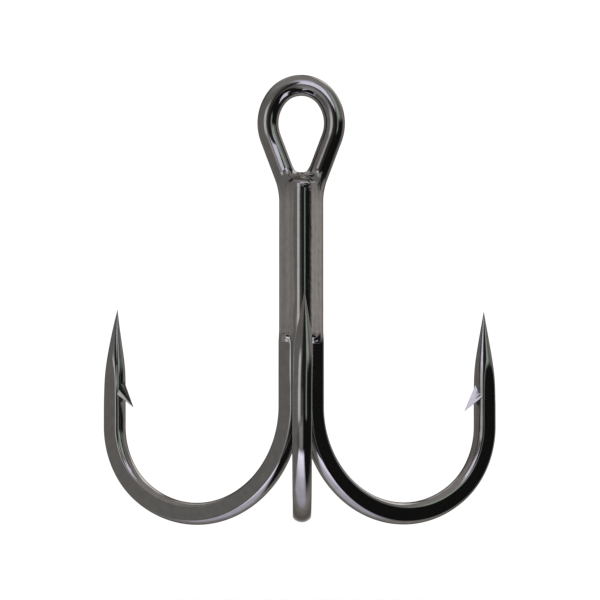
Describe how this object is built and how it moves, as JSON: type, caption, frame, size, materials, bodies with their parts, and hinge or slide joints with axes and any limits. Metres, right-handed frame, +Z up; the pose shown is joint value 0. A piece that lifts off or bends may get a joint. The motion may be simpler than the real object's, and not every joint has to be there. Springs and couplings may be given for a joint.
{
  "type": "treble hook",
  "caption": "Barbed treble fishing hook with round bends and a teardrop eye, brazed from a double hook and a single hook.",
  "frame": {"origin": "centre of the eye's opening at its widest height, in the plane of the double hook's wire", "axes": "+Z up the shank from the bends to the eye, +Y through the eye from front to back; the single hook points along -Y"},
  "size_m": [0.0226, 0.0198, 0.0254],
  "materials": {
    "plated_wire": "black nickel plating over high-carbon steel wire, glossy",
    "plated_braze": "black nickel plating over brazing filler, uneven and slightly rough"
  },
  "bodies": {
    "root": {"double_hook_wire": "plated_wire", "single_hook_wire": "plated_wire", "braze_core": "plated_braze", "braze_seam_left": "plated_braze", "braze_seam_right": "plated_braze", "braze_seam_back": "plated_braze", "braze_eye_web": "plated_braze", "braze_end_bead": "plated_braze"}
  },
  "joints": []
}
